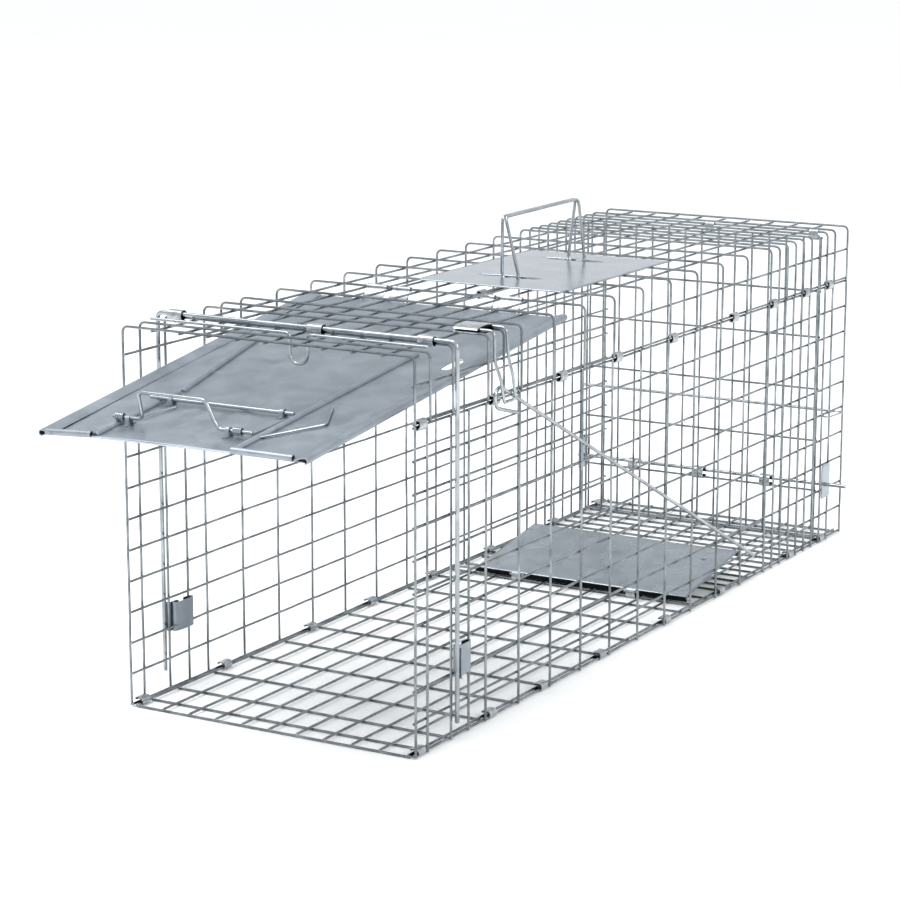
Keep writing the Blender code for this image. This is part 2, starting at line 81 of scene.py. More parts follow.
# trip plate, in its own frame at the pivot wire
PIVOT = np.array([0.0, 490.0, 6.4])
PLATE_TILT, PLATE_DEPTH, PLATE_CURL = math.radians(9.0), 112.0, 2.25
PLATE_LEFT, PLATE_RIGHT = -96, 119
TRIP_ROD_X = 135.6

# hand guard: its four sides and its level
GUARD = (-50, 88, 306, 506)
GUARD_Z = 306.85


# ---------- surfaces ----------

def unit(v):
    """Every vector at length 1."""
    return v / np.linalg.norm(v, axis=-1, keepdims=True)


def grid_quads(rows, columns, wrap=False):
    """Quads between neighbouring rows and columns of a grid, the last column joined to the first in a wrap."""
    last = columns if wrap else columns - 1
    i, j = np.meshgrid(np.arange(rows - 1), np.arange(last), indexing="ij")
    i, j, k = i.ravel(), j.ravel(), (j.ravel() + 1) % columns
    return np.stack([i * columns + j, i * columns + k, (i + 1) * columns + k, (i + 1) * columns + j], axis=1)


def joined(shapes):
    """Several (points, quads, triangles) as one, the faces counted on from the points before them."""
    starts = np.cumsum([0] + [len(s[0]) for s in shapes[:-1]])
    return (np.concatenate([s[0] for s in shapes]),
            np.concatenate([s[1] + n for s, n in zip(shapes, starts)]),
            np.concatenate([s[2] + n for s, n in zip(shapes, starts)]))


def moved(shape, change):
    """The shape with its points changed and its faces as they were."""
    return change(shape[0]), shape[1], shape[2]


def reference_for(ways):
    """The fixed direction that stays farthest from parallel to every way of a path."""
    a = np.arange(-1, 2)
    picks = np.stack(np.meshgrid(a, a, a), axis=-1).reshape(-1, 3)
    picks = unit(picks[np.abs(picks).sum(axis=1) > 0].astype(float))
    return picks[np.argmin(np.abs(picks @ ways.T).max(axis=1))]


def tube(path, radius, sides=10, closed=False, cut=0.3):
    """A round wire. point(s, a) = path(s) + radius (cos a n + sin a b), a from 0 to a full turn, where t is the
    path's direction, n a fixed direction squared off to t, and b = t x n. Open ends are flat, with a small
    chamfer cut into them."""
    path = np.asarray(path, float)
    if closed:
        ways = unit(np.roll(path, -1, 0) - np.roll(path, 1, 0))
        radii = np.full(len(path), radius)
    else:
        first, last = unit(path[1] - path[0]), unit(path[-1] - path[-2])
        path = np.concatenate([path[:1], path[:1] + first * cut, path[1:-1],
                               path[-1:] - last * cut, path[-1:]])
        ways = unit(np.gradient(path, axis=0))
        radii = np.full(len(path), radius)
        radii[[0, -1]] = radius * 0.72
    n = reference_for(ways)
    n = unit(n - (ways @ n)[:, None] * ways)
    b = np.cross(ways, n)
    a = np.linspace(0, 2 * np.pi, sides, endpoint=False)
    ring = np.cos(a)[None, :, None] * n[:, None] + np.sin(a)[None, :, None] * b[:, None]
    points = (path[:, None] + radii[:, None, None] * ring).reshape(-1, 3)
    rows = len(path)
    if closed:
        quads = grid_quads(rows + 1, sides, wrap=True) % (rows * sides)
        return points, quads, np.empty((0, 3), int)
    j = np.arange(sides)
    k = (j + 1) % sides
    start, end = len(points), len(points) + 1
    lowest = (rows - 1) * sides
    caps = np.concatenate([np.stack([np.full(sides, start), k, j], 1),
                           np.stack([np.full(sides, end), lowest + j, lowest + k], 1)])
    return np.concatenate([points, path[:1], path[-1:]]), grid_quads(rows, sides, wrap=True), caps


def rounded(corners, radius, steps=6, closed=False):
    """The path through the corners with each one replaced by a curve: start (1-t)^2 + corner 2t(1-t) + end
    t^2, start and end being radius away from the corner, or less where its neighbours are near."""
    c = np.asarray(corners, float)
    before, after = np.roll(c, 1, 0) - c, np.roll(c, -1, 0) - c
    if not closed:
        c, before, after = c[1:-1], before[1:-1], after[1:-1]
    nearest = np.minimum(np.linalg.norm(before, axis=1), np.linalg.norm(after, axis=1))
    reach = np.minimum(radius, 0.45 * nearest)
    start, end = c + unit(before) * reach[:, None], c + unit(after) * reach[:, None]
    t = np.linspace(0, 1, steps + 1)[None, :, None]
    bends = start[:, None] * (1 - t) ** 2 + c[:, None] * 2 * t * (1 - t) + end[:, None] * t**2
    bends = bends.reshape(-1, c.shape[1])
    if closed:
        return bends
    return np.concatenate([np.asarray(corners[:1], float), bends, np.asarray(corners[-1:], float)])


def bent_strip(line, low, high, along=0, thickness=SHEET):
    """A folded sheet. point(s, side, e) = line(s) + side times half a thickness of the line's normal, at low
    or high along the axis; the line is drawn in the other two axes, in their order."""
    line = np.asarray(line, float)
    ways = unit(np.gradient(line, axis=0))
    out = np.stack([-ways[:, 1], ways[:, 0]], axis=1) * thickness / 2
    outline = np.concatenate([line + out, (line - out)[::-1]])
    count, m = len(outline), len(line)
    ends = [np.insert(outline, along, value, axis=1) for value in (low, high)]
    n = np.arange(m - 1)
    ladder = np.stack([n, n + 1, count - 2 - n, count - 1 - n], 1)
    walls = grid_quads(2, count, wrap=True)
    return (np.concatenate(ends), np.concatenate([walls, ladder[:, ::-1], ladder + count]),
            np.empty((0, 3), int))


def arc(cy, cz, radius, start, end, steps=14):
    """Points centre + radius (cos a, sin a), a in degrees from start to end."""
    a = np.radians(np.linspace(start, end, steps + 1))
    return np.stack([cy + radius * np.cos(a), cz + radius * np.sin(a)], axis=1)


def ring_line(x, z, width, height, slit=0.0, gap=24.0, steps=26):
    """The middle line of a clenched ring: (w sign(cos a)|cos a|^0.8, h sign(sin a)|sin a|^0.8) round the
    hollow, w and h half a sheet outside it, a going once round from one lip of the slit to the other. The slit
    faces the angle slit and opens gap degrees to either side of it."""
    a = np.radians(slit + np.linspace(gap, 360 - gap, steps + 1))
    c, s = np.cos(a), np.sin(a)
    w, h = width / 2 + SHEET / 2, height / 2 + SHEET / 2
    return np.stack([x + w * np.sign(c) * np.abs(c) ** 0.8, z + h * np.sign(s) * np.abs(s) ** 0.8], axis=1)


def flat_sheet(x0, x1, y0, y1, holes, height, step=3.0):
    """A sheet whose rows bow apart round each hole (x, y, half along x, half along y, power):
    half opening(x) = b (1 - |(x - xc) / a|^p)^(1/p). z = height(x, y)."""
    xs = np.linspace(x0, x1, int((x1 - x0) / step) + 2)
    for xc, _, a, _, _ in holes:
        near = xc + a * np.cos(np.linspace(0, np.pi, 17))
        xs = np.concatenate([xs[np.abs(xs - xc) > a + step / 3], near])
    xs = np.sort(xs)
    lines = [np.full(len(xs), y0)]
    for xc, yc, a, b, p in sorted(holes, key=lambda hole: hole[1]):
        opening = b * np.clip(1 - np.abs((xs - xc) / a) ** p, 0, 1) ** (1 / p)
        lines += [yc - opening, yc + opening]
    lines.append(np.full(len(xs), y1))
    sheets = []
    for low, high in zip(lines[::2], lines[1::2]):
        rows = int((high - low).max() / step) + 2
        v = np.linspace(0, 1, rows)[:, None]
        y = low[None] + (high - low)[None] * v
        x = np.broadcast_to(xs, y.shape)
        points = np.stack([x, y, height(x, y)], axis=-1).reshape(-1, 3)
        sheets.append((points, grid_quads(rows, len(xs)), np.empty((0, 3), int)))
    return joined(sheets)


def beads(centres, size):
    """Weld nuggets: one small ball, point(a, b) = (cos a cos b, sin a cos b, sin b), copied to every centre."""
    a, b = np.meshgrid(np.linspace(0, 2 * np.pi, 6, endpoint=False), np.radians([-45, 0, 45]))
    ball = np.stack([np.cos(a) * np.cos(b), np.sin(a) * np.cos(b), np.sin(b)], axis=-1).reshape(-1, 3)
    ball = np.concatenate([ball, [[0, 0, -1], [0, 0, 1]]]) * size
    j = np.arange(6)
    k = (j + 1) % 6
    tris = np.concatenate([np.stack([np.full(6, 18), k, j], 1),
                           np.stack([np.full(6, 19), 12 + j, 12 + k], 1)])
    centres = np.asarray(centres, float)
    shift = np.arange(len(centres))[:, None, None] * len(ball)
    return ((centres[:, None] + ball[None]).reshape(-1, 3),
            (grid_quads(3, 6, wrap=True)[None] + shift).reshape(-1, 4), (tris[None] + shift).reshape(-1, 3))


def wandering(start, end, spacing=24.0, drift=0.16):
    """The path of a straight wire as it is really drawn: a point about every spacing, wandering off the line
    by up to drift each way. The ends stay where they are."""
    start, end = np.asarray(start, float), np.asarray(end, float)
    count = max(3, int(np.linalg.norm(end - start) / spacing) + 1)
    t = np.linspace(0, 1, count)[:, None]
    return start + (end - start) * t + RNG.uniform(-drift, drift, (count, 3)) * (t > 0) * (t < 1)


def mesh_wire(path):
    return tube(path, MESH_R, 8)


def hinge_place(points):
    """Points of the door's frame turned by its tilt about the hinge wire and set on it."""
    c, s = math.cos(DOOR_TILT), math.sin(DOOR_TILT)
    return points @ np.array([[1, 0, 0], [0, c, s], [0, -s, c]]) + HINGE


def door_place(points):
    """The same for the door's own sheet, whose left front corner hangs by sag (x / half)^2 (y / length)^2."""
    x, y, z = points.T
    left = np.clip(-x / DOOR_HALF, 0, 1)
    return hinge_place(np.stack([x, y, z - DOOR_SAG * left**2 * (y / DOOR_LENGTH) ** 2], axis=1))


def plate_place(points):
    """Points of the trip plate's frame turned by its tilt about the pivot wire and set on it."""
    c, s = math.cos(PLATE_TILT), math.sin(PLATE_TILT)
    return points @ np.array([[1, 0, 0], [0, c, s], [0, -s, c]]) + PIVOT


def piece(name, shape, body, finish, stands_for=(), wall=0.0, edge=0.0, weld=False, turned=False):
    """Makes the shape a mesh object in metres with its finish, rides it on its body and hides the parts it
    stands for. A wall gives a bare surface its gauge, an edge breaks sharp edges, weld and turned close up the
    points that meet and turn every face outward."""
    points, quads, tris = shape
    mesh = bpy.data.meshes.new(name)
    mesh.vertices.add(len(points))
    mesh.vertices.foreach_set("co", (points * MM).astype(np.float32).ravel())
    sizes = np.concatenate([np.full(len(quads), 4), np.full(len(tris), 3)]).astype(np.int32)
    mesh.loops.add(int(sizes.sum()))
    mesh.loops.foreach_set("vertex_index", np.concatenate([quads.ravel(), tris.ravel()]).astype(np.int32))
    mesh.polygons.add(len(sizes))
    mesh.polygons.foreach_set("loop_start", (np.cumsum(sizes) - sizes).astype(np.int32))
    mesh.polygons.foreach_set("loop_total", sizes)
    mesh.update(calc_edges=True)
    if weld or turned:
        made = bmesh.new()
        made.from_mesh(mesh)
        bmesh.ops.remove_doubles(made, verts=made.verts, dist=1e-6)
        bmesh.ops.recalc_face_normals(made, faces=made.faces)
        made.to_mesh(mesh)
        made.free()
    mesh.polygons.foreach_set("use_smooth", np.ones(len(mesh.polygons), bool))
    mesh.set_sharp_from_angle(angle=math.radians(38))
    mesh.materials.append(finish)
    obj = bpy.data.objects.new(name, mesh)
    bpy.context.scene.collection.objects.link(obj)
    if wall:
        solid = obj.modifiers.new("gauge", "SOLIDIFY")
        solid.thickness, solid.offset = wall * MM, 0.0
    if edge:
        soft = obj.modifiers.new("rolled edge", "BEVEL")
        soft.width, soft.segments, soft.limit_method = edge * MM, 2, "ANGLE"
        soft.angle_limit = math.radians(50)
    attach(obj, body)
    if stands_for:
        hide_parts(*stands_for)
    return obj


# ---------- finishes ----------

def linear(code):
    """An sRGB hex colour as the linear numbers that Blender works in."""
    parts = [int(code[i:i + 2], 16) / 255 for i in (1, 3, 5)]
    return (*[p / 12.92 if p <= 0.04045 else ((p + 0.055) / 1.055) ** 2.4 for p in parts], 1.0)


def add(tree, kind, feeds=(), values=(), stops=(), **settings):
    """Adds a node with its settings, its socket values, the links that feed it, each as socket: (node, output),
    and a colour ramp's stops, each as place: colour."""
    made = tree.nodes.new(kind)
    for key, value in settings.items():
        setattr(made, key, value)
    for socket, value in dict(values).items():
        made.inputs[socket].default_value = value
    for socket, (source, output) in dict(feeds).items():
        tree.links.new(source.outputs[output], made.inputs[socket])
    for number, (where, code) in enumerate(dict(stops).items()):
        made.color_ramp.elements[number].position = where
        made.color_ramp.elements[number].color = linear(code)
    return made


def blank(name):
    """A new finish: its material, its node tree, its shader, and the coordinates that textures lie in."""
    made = bpy.data.materials.new(name)
    made.use_nodes = True
    tree = made.node_tree
    return made, tree, tree.nodes["Principled BSDF"], add(tree, "ShaderNodeTexCoord")


def zinc_wire(name, dark, light, rough, patch, grain, depth):
    """A wire finish. Its tone and gloss drift from dark to light over patches, and a grain roughens it; patch,
    grain and the grain's depth are in millimetres."""
    made, tree, shader, place = blank(name)
    drift = add(tree, "ShaderNodeTexNoise", {"Vector": (place, "Object")},
                {"Scale": 1 / (patch * MM), "Detail": 4.0, "Roughness": 0.6})
    tone = add(tree, "ShaderNodeValToRGB", {"Fac": (drift, "Fac")}, stops={0.3: dark, 0.7: light})
    gloss = add(tree, "ShaderNodeMapRange", {"Value": (drift, "Fac")},
                {"From Min": 0.3, "From Max": 0.7, "To Min": rough[1], "To Max": rough[0]})
    fine = add(tree, "ShaderNodeTexNoise", {"Vector": (place, "Object")},
               {"Scale": 1 / (grain * MM), "Detail": 3.0})
    skin = add(tree, "ShaderNodeBump", {"Height": (fine, "Fac")}, {"Strength": 0.35, "Distance": depth * MM})
    shader.inputs["Metallic"].default_value = 1.0
    tree.links.new(tone.outputs["Color"], shader.inputs["Base Color"])
    tree.links.new(gloss.outputs["Result"], shader.inputs["Roughness"])
    tree.links.new(skin.outputs["Normal"], shader.inputs["Normal"])
    return made


def galvanised_sheet(name, crystal, clouds, rough):
    """Hot-dip galvanised sheet steel: crystals of zinc 8 to 14 mm wide give a faint patchwork of blue-greys, a
    slow oil-can wave bends its reflections, and handling leaves duller clouds."""
    made, tree, shader, place = blank(name)
    crystals = add(tree, "ShaderNodeTexVoronoi", {"Vector": (place, "Object")},
                   {"Scale": 1 / 0.011, "Randomness": 1.0})
    edges = add(tree, "ShaderNodeTexNoise", {"Vector": (place, "Object")}, {"Scale": 1 / 0.03, "Detail": 5.0})
    tone = add(tree, "ShaderNodeValToRGB", {"Fac": (crystals, "Color")},
               stops={0.1: crystal[0], 0.9: crystal[1]})
    cloud = add(tree, "ShaderNodeValToRGB", {"Fac": (edges, "Fac")}, stops={0.3: clouds[0], 0.72: clouds[1]})
    both = add(tree, "ShaderNodeMix", data_type="RGBA", values={"Factor": 0.45})
    tree.links.new(tone.outputs["Color"], both.inputs["A"])
    tree.links.new(cloud.outputs["Color"], both.inputs["B"])
    gloss = add(tree, "ShaderNodeMapRange", {"Value": (crystals, "Color")},
                {"To Min": rough[0], "To Max": rough[1]})
    wave = add(tree, "ShaderNodeTexNoise", {"Vector": (place, "Object")}, {"Scale": 1 / 0.055, "Detail": 2.0})
    bend = add(tree, "ShaderNodeBump", {"Height": (wave, "Fac")}, {"Strength": 0.5, "Distance": 0.0011})
    pits = add(tree, "ShaderNodeTexNoise", {"Vector": (place, "Object")}, {"Scale": 1 / 0.0016, "Detail": 3.0})
    skin = add(tree, "ShaderNodeBump", {"Height": (pits, "Fac"), "Normal": (bend, "Normal")},
               {"Strength": 0.25, "Distance": 0.00004})
    shader.inputs["Metallic"].default_value = 0.9
    tree.links.new(both.outputs["Result"], shader.inputs["Base Color"])
    tree.links.new(gloss.outputs["Result"], shader.inputs["Roughness"])
    tree.links.new(skin.outputs["Normal"], shader.inputs["Normal"])
    return made


def studio_paper():
    """Matt white background paper: no gloss, a very faint fibre tone."""
    made, tree, shader, place = blank("matt_background_paper")
    fibre = add(tree, "ShaderNodeTexNoise", {"Vector": (place, "Object")}, {"Scale": 3.0, "Detail": 2.0})
    tone = add(tree, "ShaderNodeValToRGB", {"Fac": (fibre, "Fac")}, stops={0.2: "#F9F9F8", 0.8: "#FBFBFA"})
    shader.inputs["Roughness"].default_value = 0.95
    shader.inputs["Specular IOR Level"].default_value = 0.1
    tree.links.new(tone.outputs["Color"], shader.inputs["Base Color"])
    return made


# Welded mesh, galvanised after welding: satin zinc that pools into lighter and darker lengths of about 18 mm.
MESH_ZINC = zinc_wire("galvanised_welded_mesh_wire", "#5F6669", "#999FA3", (0.18, 0.32), 18, 0.9, 0.05)
# Hard-drawn wire with bright zinc plate: smoother and lighter, so its highlights are narrow and white.
BRIGHT_WIRE = zinc_wire("bright_zinc_drawn_wire", "#868C90", "#B3B8BC", (0.14, 0.24), 30, 1.2, 0.02)
# Zinc-plated spring strip clenched into rings: brighter than the mesh, scuffed by the tool every few mm.
RING_STRIP = zinc_wire("zinc_plated_ring_strip", "#8A9094", "#BEC3C7", (0.18, 0.32), 5, 0.8, 0.06)
# Galvanised sheet: pale, cool grey with faint crystals and a soft sheen.
SHEET_ZINC = galvanised_sheet("hot_dip_galvanised_sheet", ("#8F979F", "#A6AEB5"), ("#8A939C", "#AEB6BD"),
                              (0.2, 0.3))
# The same sheet for the door and the leg catches, rougher and with broader clouds, its darker, bluer tone
# painted shade.
DOOR_ZINC = galvanised_sheet("painted_shade_galvanised_sheet", ("#858D95", "#9CA4AC"), ("#7E8790", "#A4ACB4"),
                             (0.36, 0.48))
# Painted shade: a matt, nearly black finish laid inside rolls, rings, clips and the sleeve, and on the trip
# plate's front curl, where shade falls.
PAINTED_SHADE_BLACK = zinc_wire("painted_shade_black_lining", "#0E0F10", "#1D1F20", (0.55, 0.7), 6, 0.8, 0.02)


# ---------- cage ----------

FINE = np.arange(1, 9) * 18.7  # the close wires at the rear
SIDE_VERTICALS = np.concatenate([[0, 17, 52, 78.5, 105], 105 + 52.5 * np.arange(1, 11), 630 + FINE, [LENGTH]])
SIDE_ROWS = np.linspace(FLOOR_Z, SIDE_TOP, 11)
TOP_BENDS = np.concatenate([[0, 22, 55, 108, 132, 160, 212.5, 265], 265 + 52.5 * np.arange(1, 8),
                            632.5 + FINE, [LENGTH]])
TOP_LONG = -129 + 25.8 * np.arange(1, 10)
TOP_LEGS = [(side * INNER_X, z) for side in (-1, 1) for z in (SEAM, 283.0)]
FLOOR_CROSS = np.concatenate([[0, 20, 55.5, 106, 158, 211, 263, 312, 362, 414, 466, 519],
                              550 + 18.7 * np.arange(14), [LENGTH]])
FLOOR_LONG = np.linspace(-FLOOR_HALF, FLOOR_HALF, 11)


def side_panel(side):
    """Rows of wire inside, uprights outside, and a nugget where each pair crosses."""
    inner, outer = side * INNER_X, side * OUTER_X
    rows = [mesh_wire(wandering((inner, WIRE_FRONT, z), (inner, WIRE_REAR, z))) for z in SIDE_ROWS]
    ups = [mesh_wire(wandering((outer, y, FLOOR_Z - OVERHANG), (outer, y, SIDE_TOP + OVERHANG)))
           for y in SIDE_VERTICALS]
    y, z = np.meshgrid(SIDE_VERTICALS, SIDE_ROWS)
    middle = np.full(y.size, side * (INNER_X + OUTER_X) / 2)
    welds = np.stack([middle, y.ravel(), z.ravel()], 1)
    return joined(rows + ups + [beads(welds, (NUGGET_THIN, NUGGET, NUGGET))])


def top_panel():
    """Wires bent down over both sides, carried on long wires under them, and nuggets where they cross."""
    shapes = []
    for y in TOP_BENDS:
        corners = [(-OUTER_X, y, SEAM - OVERHANG), (-OUTER_X, y, OUTER_Z),
                   (OUTER_X, y, OUTER_Z), (OUTER_X, y, SEAM - OVERHANG)]
        shapes.append(mesh_wire(rounded(corners, 5.5, 6)))
    for x, z in [(x, INNER_Z) for x in TOP_LONG] + TOP_LEGS:
        shapes.append(mesh_wire(wandering((x, WIRE_FRONT, z), (x, WIRE_REAR, z))))
    y, x = np.meshgrid(TOP_BENDS, TOP_LONG)
    welds = np.stack([x.ravel(), y.ravel(), np.full(x.size, TOP - 0.7)], 1)
    shapes.append(beads(welds, (NUGGET, NUGGET, NUGGET_THIN)))
    for x, z in TOP_LEGS:
        welds = np.stack([np.full(len(TOP_BENDS), math.copysign(HALF_WIDTH - 0.7, x)), TOP_BENDS,
                          np.full(len(TOP_BENDS), z)], 1)
        shapes.append(beads(welds, (NUGGET_THIN, NUGGET, NUGGET)))
    return joined(shapes)


def floor_panel():
    """Long wires on top, cross wires under them; the one under the pivot wire sits high, inside its rings."""
    z, end = FLOOR_LONG_Z, FLOOR_HALF + 1
    shapes = [mesh_wire(wandering((x, -1.0, z), (x, LENGTH + 1.0, z), drift=0.1)) for x in FLOOR_LONG]
    z = FLOOR_CROSS_Z
    shapes += [mesh_wire(wandering((-end, y, z), (end, y, z), drift=0.04)) for y in FLOOR_CROSS]
    shapes.append(mesh_wire([(-end, PIVOT[1], 2.0), (0, PIVOT[1], 2.0), (end, PIVOT[1], 2.0)]))
    y, x = np.meshgrid(FLOOR_CROSS, FLOOR_LONG)
    welds = np.stack([x.ravel(), y.ravel(), np.full(x.size, (FLOOR_LONG_Z + FLOOR_CROSS_Z) / 2)], 1)
    shapes.append(beads(welds, (NUGGET, NUGGET, NUGGET_THIN)))
    return joined(shapes)


def rear_panel():
    """Close uprights in front of seven cross wires."""
    ups = np.linspace(-REAR_HALF, REAR_HALF, 15)
    rows = np.array([6.0, 52.2, 101.6, 152.4, 203.2, 247.6, 299.5])
    y, end = REAR_Y - SINK, REAR_HALF + 1
    shapes = [mesh_wire(wandering((x, y, 4.9), (x, y, 300.6), drift=0.1)) for x in ups]
    shapes += [mesh_wire(wandering((-end, REAR_Y, z), (end, REAR_Y, z), drift=0.05)) for z in rows]
    x, z = np.meshgrid(ups, rows)
    welds = np.stack([x.ravel(), np.full(x.size, REAR_Y - 0.8), z.ravel()], 1)
    shapes.append(beads(welds, (NUGGET, NUGGET_THIN, NUGGET)))
    return joined(shapes)


def rings(x, z, width, height, places, slit, length=10.5):
    """Clenched rings of one seam: the ring line carried along Y for a ring's length at each place, and inside
    it the same line again a sheet smaller and half a millimetre shorter at either end."""
    line = ring_line(x, z, width, height, slit)
    lining = ring_line(x, z, width - 2 * SHEET, height - 2 * SHEET, slit)
    outer = [bent_strip(line, y - length / 2, y + length / 2, along=1) for y in places]
    inner = [bent_strip(lining, y - length / 2 + 0.5, y + length / 2 - 0.5, along=1) for y in places]
    return joined(outer), joined(inner)


def cage():
    """The five mesh panels and the clenched rings along their four seams."""
    for side, name in ((-1, "left"), (1, "right")):
        piece(f"{name}_side_wires", side_panel(side), "cage", MESH_ZINC, [f"{name}_side_panel"])
    piece("top_wires", top_panel(), "cage", MESH_ZINC, ["top_panel"])
    piece("floor_wires", floor_panel(), "cage", MESH_ZINC, ["floor_panel"])
    piece("rear_wires", rear_panel(), "cage", MESH_ZINC, ["rear_panel"])
    thick, middle = 2 * MESH_R + 0.7, (SIDE_TOP + SEAM) / 2
    top_places = (9.5, 118.5, 228, 325, 430, 555, 641, 715.4, 771.5)
    low_x, wide = (INNER_X + FLOOR_HALF) / 2, INNER_X - FLOOR_HALF + thick
    tall, low_z = SEAM - SIDE_TOP + thick + 1.4, 3.7
    seams = (("top_left", -INNER_X - 0.4, middle, thick + 1.8, tall, top_places, 180),
             ("top_right", INNER_X + 0.4, middle, thick + 1.8, tall, top_places, 180),
             ("floor_left", -low_x, low_z, wide, 5.6, (9, 122, 252, 350, 457, 566, 695.5, 790), 180),
             ("floor_right", low_x, low_z, wide, 5.6, (9, 117, 201, 304, 428, 540, 695.5, 770), 180))
    for name, x, z, width, height, places, slit in seams:
        outer, inner = rings(x, z, width, height, places, slit)
        piece(f"{name}_clenched_rings", outer, "cage", RING_STRIP,
              [f"{name}_ring_{n}" for n in range(1, 6)], turned=True)
        # The ring insides are painted shade: a dark lining where the rings' hollows fall into shade.
        piece(f"{name}_ring_insides", inner, "cage", PAINTED_SHADE_BLACK, turned=True)


# ---------- front frame ----------

def front_frame():
    """The swinging U of rod, the clips it turns in, the catches that hold its legs, and the bar with a dip."""
    x, y, top, foot = FRAME_X, FRAME_Y, FRAME_TOP, 15
    bar = rounded([(-x, y, foot), (-x, y, top), (x, y, top), (x, y, foot)], 6.0, 8)
    piece("frame_bar", tube(bar, ROD_R, 16, cut=0.6), "front_frame", BRIGHT_WIRE,
          ["front_frame"])
    middle, tall = (CLIP_LOW + CLIP_HIGH) / 2, CLIP_HIGH - CLIP_LOW
    for name, cx in (("left", -118.0), ("middle", 12.0), ("right", 110.0)):
        line = ring_line(CLIP_Y, middle, CLIP_WIDE, tall, 320)
        piece(f"bar_clip_{name}", bent_strip(line, cx - 6.5, cx + 6.5), "cage", RING_STRIP,
              [f"frame_clip_{name}"], edge=EDGE, turned=True)
        # Inside each clip, a dark lining paints the shade in its hollow.
        line = ring_line(CLIP_Y, middle, CLIP_WIDE - 2 * SHEET, tall - 2 * SHEET, 320)
        piece(f"bar_clip_inside_{name}", bent_strip(line, cx - 6.0, cx + 6.0), "cage", PAINTED_SHADE_BLACK,
              turned=True)
    for name, side, rear, z in (("left", -1, 84.0, 59.5), ("right", 1, 81.0, 61.5)):
        # a flattened sleeve round two uprights, with a lip that stands out behind the leg
        middle, deep = (CATCH_FRONT + rear) / 2, rear - CATCH_FRONT - 2.4
        pocket = ring_line(side * CATCH_X, middle, CATCH_WIDE, deep, 180, gap=14, steps=40)
        lip = rounded([(side * x, y) for x, y in ((138.7, 54.6), (138.3, 56.0), (133.6, 56.3), (133.6, 66.0))],
                      1.2, 5)
        # The catch takes the darker sheet finish, whose darker tone is painted shade.
        piece(f"leg_catch_{name}", joined([bent_strip(pocket, z - 12, z + 12, along=2),
                                           bent_strip(lip, z - 12, z + 12, along=2)]),
              "cage", DOOR_ZINC, [f"frame_catch_{name}"], edge=EDGE, turned=True)
        # Inside each catch, a dark lining paints the shade in its pocket.
        pocket = ring_line(side * CATCH_X, middle, CATCH_WIDE - 2 * SHEET, deep - 2 * SHEET, 180, gap=14,
                           steps=40)
        piece(f"leg_catch_inside_{name}", bent_strip(pocket, z - 11.6, z + 11.6, along=2), "cage",
              PAINTED_SHADE_BLACK, turned=True)
    dip = [(-124, 0, 0), (5, 0, 0), (5, 0, -18), (9, 0, -23), (17, 0, -23), (21, 0, -18), (21, 0, 0),
           (126, 0, 0)]
    piece("dipped_bar", tube(rounded(dip, 4) + (0, 27, ROOF_WIRE_Z), 1.25, 12), "cage", BRIGHT_WIRE,
          ["dip_rod"])


# ---------- door ----------

RIBS = (((-72, -383), (-70, -281)), ((-69, -277), (-91, -142)), ((50, -383), (57, -140)))
CREASES = np.array([[(99, -209), (113, -185)], [(-100, -150), (-60, -60)], [(20, -330), (-30, -200)]], float)
FRONT_LEFT, FRONT_RIGHT = -118.4, 113.5  # the front edge; the door widens from it to its hinge


def door_edge(side, y):
    """The door's side at y: a straight line from the front corner to half a door at the hinge."""
    front = np.where(side < 0, FRONT_LEFT, FRONT_RIGHT)
    return side * DOOR_HALF + (front - side * DOOR_HALF) * (-y / DOOR_LENGTH)


def door_height(x, y):
    """Skin level, crowned 0.6 mm, with a soft crease that adds 0.9 (1 - (d/9)^2)^2 within 9 mm of each line."""
    along = np.sin(np.pi * np.clip(-y / DOOR_LENGTH, 0, 1)) ** 2
    z = np.full(x.shape, -DOOR_DROP) + 0.6 * (1 - (x / DOOR_HALF) ** 2) * along
    for (ax, ay), (bx, by) in CREASES:
        dx, dy = bx - ax, by - ay
        t = np.clip(((x - ax) * dx + (y - ay) * dy) / (dx * dx + dy * dy), 0, 1)
        d = np.hypot(x - ax - t * dx, y - ay - t * dy)
        z = z + 0.9 * np.clip(1 - (d / 9.0) ** 2, 0, 1) ** 2
    return z


def door_outline(points):
    """Points of a straight-sided sheet drawn in to the door's sides: x goes from edge(left, y) to
    edge(right, y)."""
    x, y, z = points.T
    left, right = door_edge(-1, y), door_edge(1, y)
    share = (x + DOOR_HALF) / (2 * DOOR_HALF)
    return np.stack([left + (right - left) * share, y, z], axis=1)


